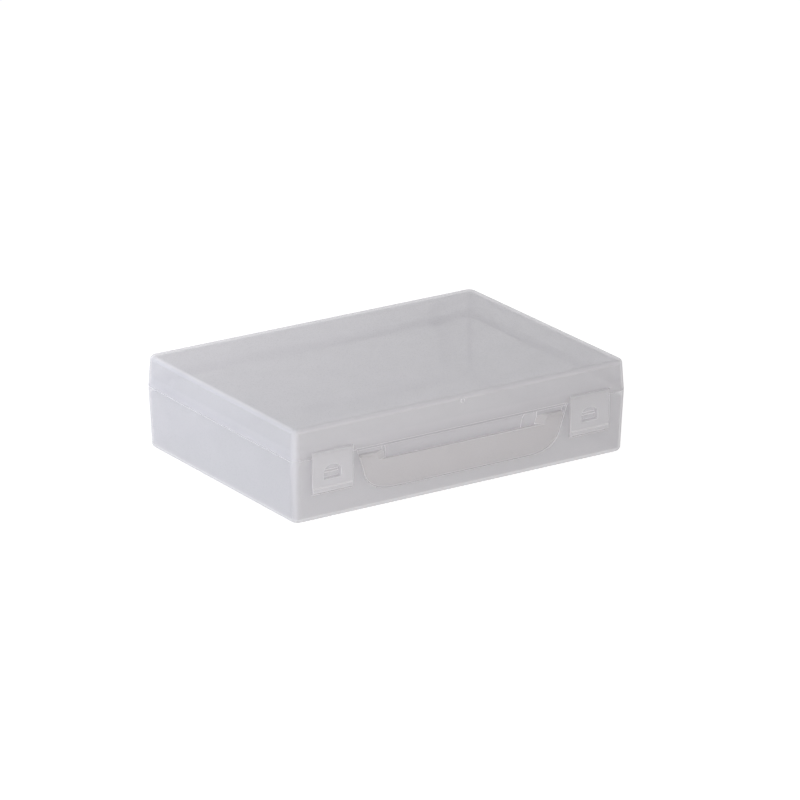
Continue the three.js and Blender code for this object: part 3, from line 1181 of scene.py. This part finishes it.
@dataclass
class LidMoulding:
    """The lid, with the upper ends of the latch pockets and a hinge knuckle at each side."""

    sizes: CaseSizes
    fittings: Fittings
    hinge: Hinge
    finishes: Finishes
    gate_radius: float = 1.8
    gate_rise: float = 0.45
    gate_sides: int = 20
    softness: float = 0.35

    def build(self) -> Piece:
        """Models the lid.

        Returns:
            The finished moulding.
        """
        sizes = self.sizes
        fittings = self.fittings
        levels = ((sizes.lid_bottom, 0.0), (sizes.top, sizes.lid_draft))
        lid = sizes.moulded_block("lid_moulding", levels, sizes.corner)
        sizes.round_end(lid, sizes.top, sizes.top_rounding)
        core = self._core()
        block_top = fittings.latch_pocket_top + sizes.wall
        for side in Side:
            Bench.cut(core, fittings.latch_space(side, sizes.wall, block_top))
        Bench.cut(lid, core)
        for side in Side:
            pocket = fittings.latch_space(side, 0.0, fittings.latch_pocket_top)
            Bench.cut(lid, pocket, fittings.latch_bore(side.value * fittings.latch_centre))
            Bench.join(lid, self.hinge.lid_knuckle(side))
            Bench.cut(lid, self.hinge.bore(side))
        Bench.join(lid, self._gate_mark())
        Bench.soften(lid, self.finishes, self.softness)
        Bench.shade(lid)
        self.hinge.dress_rib(lid, sizes.lid_inset)
        return lid

    def _gate_mark(self) -> Piece:
        """Adds the small round mark that the mould's gate leaves under the lid's front edge.

        Returns:
            The mark.
        """
        sizes = self.sizes
        z = sizes.top - sizes.top_rounding - self.gate_radius
        wall = sizes.front + sizes.lid_inset(z)
        outline = arc_points((0.0, z), self.gate_radius, 0.0, math.tau, self.gate_sides)[:-1]
        proud = wall - self.gate_rise
        return Bench.plate("gate_mark", outline, Axis.Y, proud, wall + sizes.wall / 2)

    def _core(self) -> Piece:
        """Adds the solid that the lid's inside takes.

        Returns:
            The solid.
        """
        sizes = self.sizes
        ceiling = sizes.top - sizes.wall
        low = sizes.lid_bottom - sizes.overrun
        levels = ((low, sizes.wall), (ceiling, sizes.lid_inset(ceiling) + sizes.wall))
        core = sizes.moulded_block("core", levels, sizes.corner - sizes.wall)
        sizes.round_end(core, ceiling, sizes.inner_rounding)
        Bench.clear()
        return core


@dataclass
class Latch:
    """A plate that hangs from the lid by a pin, with a D-shaped window over the catch."""

    sizes: CaseSizes
    fittings: Fittings
    finishes: Finishes
    grip_length: float = 5.0
    grip_height: float = 0.5
    tip_rounding: float = 1.2
    barrel_steps: int = 28
    softness: float = 0.45
    soft_segments: int = 3

    def build(self) -> dict[Side, Piece]:
        """Models the latch once at the case's middle, and hangs a copy of it at each side.

        Returns:
            The two latches, each with its own mesh.
        """
        latch = self._model()
        copies = {}
        for side in Side:
            Bench.take(latch)
            bpy.ops.object.duplicate(linked=False)
            copy = bpy.context.object
            copy.location.x = side.value * self.fittings.latch_centre * MM
            copies[side] = Bench.settle(copy, f"{side.name.lower()}_latch_moulding")
        bpy.data.objects.remove(latch)
        return copies

    def _model(self) -> Piece:
        """Models and dresses one latch at the case's middle.

        Returns:
            The finished moulding.
        """
        fittings = self.fittings
        _, pivot_y, pivot_z = self.sizes.latch_pivot
        span = (-fittings.latch_width / 2, fittings.latch_width / 2)
        front = fittings.latch_front
        back = front + fittings.latch_thickness
        bottom = fittings.latch_bottom
        tip = bottom + self.tip_rounding
        grip_top = bottom + self.grip_length
        lip = front - self.grip_height
        radius = fittings.latch_barrel
        front_angle = math.pi + math.acos((pivot_y - front) / radius)
        back_angle = -math.acos((back - pivot_y) / radius)
        arc = arc_points((pivot_y, pivot_z), radius, back_angle, front_angle, self.barrel_steps)
        outline = [
            *arc,
            (front, grip_top),
            (lip, grip_top - self.grip_height),
            (lip, tip),
            (lip + self.tip_rounding, bottom),
            (back - self.tip_rounding, bottom),
            (back, tip),
        ]
        latch = Bench.plate("latch", outline, Axis.X, *span)
        overrun = self.sizes.overrun
        opening = fittings.window_outline(0.0)
        window = Bench.plate("window", opening, Axis.Y, front - overrun, back + overrun)
        Bench.cut(latch, window, fittings.latch_bore(0.0))
        Bench.soften(latch, self.finishes, self.softness, self.soft_segments)
        Bench.shade(latch)
        return latch


@dataclass
class Handle:
    """The U-shaped handle, which folds flat into its pocket."""

    sizes: CaseSizes
    fittings: Fittings
    finishes: Finishes
    grip_drop: float = 14.5
    ramp_width: float = 9.0
    arm_lean: float = 3.0
    barrel_sides: int = 32
    softness: float = 0.6
    soft_segments: int = 5
    crease: float = 20.0

    @property
    def half_thick(self) -> float:
        """Half the handle's thickness."""
        return self.fittings.handle_thickness / 2

    def build(self) -> Piece:
        """Models the handle upright about its pivot, and then leans it along the wall.

        Returns:
            The finished moulding.
        """
        sizes = self.sizes
        fittings = self.fittings
        pivot_z = sizes.handle_pivot[2]
        pocket = fittings.pocket_outline(fittings.handle_gap, pivot_z)
        outline = [(x, z - pivot_z) for x, z in pocket]
        half = self.half_thick
        handle = Bench.plate("handle_moulding", outline, Axis.Y, -half, half)
        Bench.cut(handle, self._opening())
        Bench.soften(handle, self.finishes, self.softness, self.soft_segments)
        reach = self._end_half()
        inner = reach - fittings.handle_pin_reach - sizes.clearance
        outer = reach + fittings.handle_gap + sizes.overrun
        for side in Side:
            Bench.join(handle, self._barrel(side, reach))
            bore = Bench.rod("bore", fittings.handle_bore, side.span(inner, outer), 0.0, 0.0)
            Bench.cut(handle, bore)
        Bench.shade(handle, self.crease)
        handle.location = [value * MM for value in sizes.handle_pivot]
        handle.rotation_euler.x = sizes.draft_angle
        return Bench.settle(handle, handle.name)

    def _barrel(self, side: Side, reach: float) -> Piece:
        """Adds the barrel along one arm's end.

        Args:
            side: Which arm.
            reach: How far out it goes.

        Returns:
            The barrel, cut off along the arm's ramp.
        """
        span = side.span(reach - self.fittings.arm_width - self.ramp_width, reach)
        radius = self.fittings.handle_barrel
        barrel = Bench.rod("barrel", radius, span, 0.0, 0.0, self.barrel_sides)
        Bench.cut(barrel, self._opening())
        return barrel

    def _end_half(self) -> float:
        """Half the handle's length along its pivot line."""
        height = self.sizes.handle_pivot[2] - self.fittings.handle_barrel - self.sizes.overrun
        return self.fittings.pocket_half_at(height) - self.fittings.handle_gap

    def _opening(self) -> Piece:
        """Adds the block between the arms, with the ramps on their inner sides.

        Returns:
            The block to cut away.
        """
        fittings = self.fittings
        overrun = self.sizes.overrun
        arm_inner = fittings.pocket_side_half - fittings.handle_gap - fittings.arm_width
        low = self.sizes.seam - self.grip_drop - self.sizes.handle_pivot[2]
        high = fittings.handle_barrel + overrun
        slope = self.ramp_width / fittings.handle_thickness
        front_half = arm_inner + slope * overrun
        back_half = arm_inner - self.ramp_width - slope * overrun
        outline = mirrored([(front_half, low), (front_half + self.arm_lean, high)])
        depth = self.half_thick + overrun
        opening = Bench.plate("opening", outline, Axis.Y, -depth, depth)
        Bench.pick_faces(opening, lambda centre, normal: normal.y > FACING)
        Bench.resize(back_half / front_half, 1.0, 0.0)
        Bench.clear()
        return opening


@dataclass(frozen=True)
class ThickAndHighlightPlaces:
    """Where a shell is whitened: along corners and edges, partly for its thicker plastic and
    partly as a painted highlight, and over a lip as painted light.
    """

    sizes: CaseSizes
    of_lid: bool
    lip_full: float = 8.0
    lip_end: float = 11.0
    near: float = 2.4
    far: float = 5.0
    corner_far: float = 7.5
    edge_highlight_share: float = 0.45

    def edges(self, graph: Graph, place: Sock) -> Sock:
        """Gives 1 along the box's upright corners, less along its other edges and 0 on its flats:
        the places that get a painted highlight over their thicker plastic.

        Args:
            graph: The material's nodes.
            place: The place on the surface.

        Returns:
            The mask.
        """
        x, y, z = graph.places(place)
        side = self.sizes.half_width * MM - x.size()
        wall = self.sizes.half_depth * MM - (y - self.sizes.middle * MM).size()
        level = self.sizes.top if self.of_lid else 0.0
        end = self._near(graph, (z - level * MM).size(), self.far)
        corner = self._near(graph, side, self.corner_far)
        corner = corner * self._near(graph, wall, self.corner_far)
        rim = self._near(graph, side, self.far).most(self._near(graph, wall, self.far)) * end
        return corner.most(rim * self.edge_highlight_share)

    def lip_light_band(self, graph: Graph, place: Sock) -> Sock | None:
        """Gives 1 where the lid's wall covers the tray's lip: a band painted lighter, as painted
        light for what the lip behind scatters back.

        Args:
            graph: The material's nodes.
            place: The place on the surface.

        Returns:
            The mask, or nothing on the tray.
        """
        if not self.of_lid:
            return None
        seam = self.sizes.seam
        z = graph.places(place)[2]
        return 1.0 - graph.fade(z, seam + self.lip_full, seam + self.lip_end)

    def _near(self, graph: Graph, distance: Sock, far: float) -> Sock:
        """Gives 1 close to a wall and 0 far from it."""
        return 1.0 - graph.fade(distance, self.near, far)


@dataclass(frozen=True)
class MilkyPlastic:
    """Natural moulded polypropylene: cloudy all through, with a soft gloss on its skin."""

    name: str
    colour: Colour = (0.81, 0.80, 0.82)
    cloud_colour: Colour = (0.76, 0.75, 0.77)
    veil: float = 0.40
    veil_spread: float = 0.06
    thick_and_highlight_colour: Colour = (0.97, 0.96, 0.975)
    thick_and_highlight_share: float = 1.0
    lip_light_share: float = 0.4
    thick_and_highlight_veil: float = 0.45
    thick_and_highlit: ThickAndHighlightPlaces | None = None
    glow: float = 0.16
    thick_and_highlight_glow: float = 0.2
    roughness: float = 0.28
    roughness_spread: float = 0.06
    refraction: float = 1.49
    cloud_size: float = 0.045
    cloud_detail: float = 3.0
    grain_size: float = 0.0009
    grain_detail: float = 2.0
    grain_strength: float = 0.05
    grain_height: float = 0.0002
    wave_size: float = 0.05
    wave_detail: float = 1.0
    wave_strength: float = 0.06
    wave_height: float = 0.004

    def build(self) -> bpy.types.Material:
        """Makes the material.

        Returns:
            A material whose patterns read Object coordinates.
        """
        material = bpy.data.materials.new(self.name)
        graph = Graph(material)
        place = graph.value("ShaderNodeTexCoord", {}, {}, "Object")
        clouds = self._noise(graph, place, self.cloud_size, self.cloud_detail)
        grain = self._noise(graph, place, self.grain_size, self.grain_detail)
        waves = self._noise(graph, place, self.wave_size, self.wave_detail)
        colour = graph.mix(clouds, (*self.cloud_colour, 1.0), (*self.colour, 1.0))
        veil = self.veil + (clouds - 0.5) * self.veil_spread
        through: Any = self.glow
        # Corners and edges are whitened, partly for their thicker plastic and partly as a painted
        # highlight.
        if self.thick_and_highlit is not None:
            thick_and_highlit = self.thick_and_highlit.edges(graph, place)
            # Over the lip the lid gets a painted lighter band, for light that the lip behind
            # scatters back.
            lip = self.thick_and_highlit.lip_light_band(graph, place)
            white = thick_and_highlit if lip is None else thick_and_highlit.most(lip * self.lip_light_share)
            colour = graph.mix(white * self.thick_and_highlight_share, colour, (*self.thick_and_highlight_colour, 1.0))
            veil = veil + thick_and_highlit * self.thick_and_highlight_veil
            through = self.glow + thick_and_highlit * self.thick_and_highlight_glow
        broad = self._bump(graph, waves, self.wave_strength, self.wave_height, {})
        fine = self._bump(graph, grain, self.grain_strength, self.grain_height, {"Normal": broad})
        skin = {
            "Base Color": colour,
            "Roughness": self.roughness + (grain - 0.5) * self.roughness_spread,
            "IOR": self.refraction,
            "Alpha": veil,
            "Normal": fine,
        }
        shader = graph.value("ShaderNodeBsdfPrincipled", {}, skin)
        glow = graph.value("ShaderNodeBsdfTranslucent", {}, {"Color": (*self.colour, 1.0)})
        mixed = graph.value("ShaderNodeMixShader", {}, {0: through, 1: shader, 2: glow})
        graph.add("ShaderNodeOutputMaterial", {}, {"Surface": mixed})
        return material

    @staticmethod
    def _noise(graph: Graph, place: Sock, size: float, detail: float) -> Sock:
        """Adds soft noise whose patches have a size in metres."""
        inputs = {"Vector": place, "Scale": 1.0 / size, "Detail": detail, "Roughness": 0.5}
        return graph.value("ShaderNodeTexNoise", {}, inputs, "Fac")

    @staticmethod
    def _bump(graph: Graph, heights: Sock, strength: float, height: float, under: Inputs) -> Sock:
        """Adds a bump of a height in metres over the bump under it."""
        inputs = {"Strength": strength, "Distance": height, "Height": heights, **under}
        return graph.value("ShaderNodeBump", {}, inputs)


def back_vector(azimuth: float, elevation: float) -> Vector:
    """Gives the direction from the case to a viewer.

    Args:
        azimuth: Degrees round the case. 0 looks along +Y.
        elevation: Degrees above the horizon.

    Returns:
        A vector of length 1.
    """
    turn = math.radians(azimuth)
    rise = math.radians(elevation)
    level = math.cos(rise)
    return Vector((math.sin(turn) * level, -math.cos(turn) * level, math.sin(rise)))


@dataclass
class Softbox:
    """One rectangular studio lamp that faces the case."""

    name: str
    azimuth: float
    elevation: float
    distance: float
    width: float
    height: float
    power: float
    colour: Colour

    def build(self, aim: Vector) -> None:
        """Hangs the lamp.

        Args:
            aim: The point that the lamp faces.
        """
        back = back_vector(self.azimuth, self.elevation)
        bpy.ops.object.light_add(type="AREA", location=aim + back * self.distance)
        lamp = bpy.context.object
        lamp.name = self.name
        lamp.data.shape = "RECTANGLE"
        lamp.data.size = self.width
        lamp.data.size_y = self.height
        lamp.data.energy = self.power
        lamp.data.color = self.colour
        lamp.rotation_euler = (-back).to_track_quat("-Z", "Y").to_euler()


@dataclass
class Studio:
    """The pale floor, the light and the camera."""

    camera_azimuth: float = -33.272
    camera_elevation: float = 19.260
    camera_distance: float = 5.0287
    camera_lens: float = 261.5
    camera_sensor: float = 36.0
    camera_reach: float = 100.0
    aim: Corner = (0.0179, 0.0013, 0.0394)
    sky: float = 0.41
    see_through: int = 32
    passes: int = 8
    floor_size: float = 6.0
    floor_grey: float = 0.8
    seen_floor_grey: float = 0.3
    seen_floor_glow: float = 0.9
    lamps: list[Softbox] = field(
        default_factory=lambda: [
            Softbox("left_softbox", -95.0, 16.0, 0.9, 0.9, 0.5, 3.0, (0.78, 0.86, 1.0)),
            Softbox("back_softbox", -160.0, 28.0, 0.65, 0.6, 0.4, 1.4, (1.0, 0.98, 1.0)),
            Softbox("front_softbox", -22.0, 6.0, 1.0, 0.9, 0.4, 2.2, (1.0, 0.95, 0.915)),
        ]
    )

    def build(self) -> None:
        """Sets up the camera, the world, the lamps and the floor."""
        self._view_settings()
        self._camera()
        self._world()
        for lamp in self.lamps:
            lamp.build(Vector(self.aim))
        self._floor()

    def _view_settings(self) -> None:
        """Shows colours as written, and lets sight and light pass through all the walls."""
        scene = bpy.context.scene
        scene.view_settings.view_transform = "Standard"
        scene.cycles.transparent_max_bounces = self.see_through
        scene.cycles.diffuse_bounces = self.passes
        scene.cycles.max_bounces = self.passes

    def _camera(self) -> None:
        """Stands the camera where the photograph was taken from."""
        back = back_vector(self.camera_azimuth, self.camera_elevation)
        bpy.ops.object.camera_add(location=Vector(self.aim) + back * self.camera_distance)
        camera = bpy.context.object
        camera.rotation_euler = (-back).to_track_quat("-Z", "Y").to_euler()
        camera.data.lens = self.camera_lens
        camera.data.sensor_width = self.camera_sensor
        camera.data.clip_end = self.camera_reach
        bpy.context.scene.camera = camera

    def _world(self) -> None:
        """Lights softly from all round, and looks white to the camera and in reflections."""
        world = bpy.data.worlds.new("studio_air")
        bpy.context.scene.world = world
        graph = Graph(world)
        strength = self.sky + graph.seen() * (1.0 - self.sky)
        air = graph.value("ShaderNodeBackground", {}, {"Color": WHITE, "Strength": strength})
        graph.add("ShaderNodeOutputWorld", {}, {"Surface": air})

    def _floor(self) -> None:
        """Lays the pale floor, which looks white and keeps a light shadow."""
        bpy.ops.object.select_all(action="DESELECT")
        bpy.ops.mesh.primitive_plane_add(size=self.floor_size)
        floor = bpy.context.object
        floor.name = "floor"
        material = bpy.data.materials.new("pale_floor")
        graph = Graph(material)
        greys = (self.floor_grey, self.seen_floor_grey)
        matt, pale = (
            graph.value("ShaderNodeBsdfDiffuse", {}, {"Color": (grey, grey, grey, 1.0)})
            for grey in greys
        )
        light = {"Color": WHITE, "Strength": self.seen_floor_glow}
        glow = graph.value("ShaderNodeEmission", {}, light)
        shown = graph.value("ShaderNodeAddShader", {}, {0: pale, 1: glow})
        mixed = graph.value("ShaderNodeMixShader", {}, {0: graph.seen(), 1: matt, 2: shown})
        graph.add("ShaderNodeOutputMaterial", {}, {"Surface": mixed})
        floor.data.materials.append(material)


def make_finishes(sizes: CaseSizes) -> dict[str, Finishes]:
    """Makes the case's finishes.

    Args:
        sizes: The case's sizes.

    Returns:
        The finishes of each moulding, by the record's material slot.
    """
    dense = MilkyPlastic(
        "dense_plastic", (0.95, 0.945, 0.96), (0.92, 0.915, 0.93), 0.66, 0.04, glow=0.2
    ).build()
    # The softened edges' finish: near white, a painted highlight.
    edge = MilkyPlastic(
        "edge_highlight_plastic", (1.0, 0.99, 1.0), (0.98, 0.97, 0.98), 0.8, 0.04, glow=0.2
    ).build()
    thin = MilkyPlastic("thin_plastic", veil=0.14, glow=0.08).build()
    handle = MilkyPlastic(
        "handle_plastic", (0.90, 0.885, 0.892), (0.86, 0.845, 0.852), 0.6, 0.04, glow=0.2
    ).build()
    walls = {
        "base": MilkyPlastic("tray_plastic", thick_and_highlit=ThickAndHighlightPlaces(sizes, of_lid=False)).build(),
        "lid": MilkyPlastic("lid_plastic", thick_and_highlit=ThickAndHighlightPlaces(sizes, of_lid=True)).build(),
        "handle": handle,
        "latches": dense,
    }
    return {slot: Finishes(wall, dense, edge, thin) for slot, wall in walls.items()}


def place(piece: Piece, body: str, node: str, slot: str) -> None:
    """Puts a finished moulding in its node's place.

    Args:
        piece: The moulding.
        body: The body that it moves with.
        node: The CAD node that it stands for.
        slot: The record's material slot. It is not used.
    """
    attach(piece, body)
    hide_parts(node)
    LOG.info("%s: %d faces", piece.name, len(piece.data.polygons))


def main() -> None:
    """Builds the pieces and the studio, in order."""
    logging.basicConfig(level=logging.INFO, format="%(name)s: %(message)s")
    sizes = CaseSizes.from_frame()
    finishes = make_finishes(sizes)
    for name, node in frame["nodes"].items():
        node.data.materials.clear()
        node.data.materials.append(finishes["latches"].dense)
        LOG.info("dressed %s", name)
    fittings = Fittings(sizes)
    hinge = Hinge(sizes)
    tray = BaseMoulding(sizes, fittings, hinge, finishes["base"])
    lid = LidMoulding(sizes, fittings, hinge, finishes["lid"])
    handle = Handle(sizes, fittings, finishes["handle"])
    place(tray.build(), "base", "base_shell", "base")
    place(lid.build(), "lid", "lid_shell", "lid")
    place(handle.build(), "handle", "handle", "handle")
    for side, piece in Latch(sizes, fittings, finishes["latches"]).build().items():
        node = f"{side.name.lower()}_latch"
        place(piece, node, node, "latches")
    Studio().build()


if __name__ == "__main__":
    main()
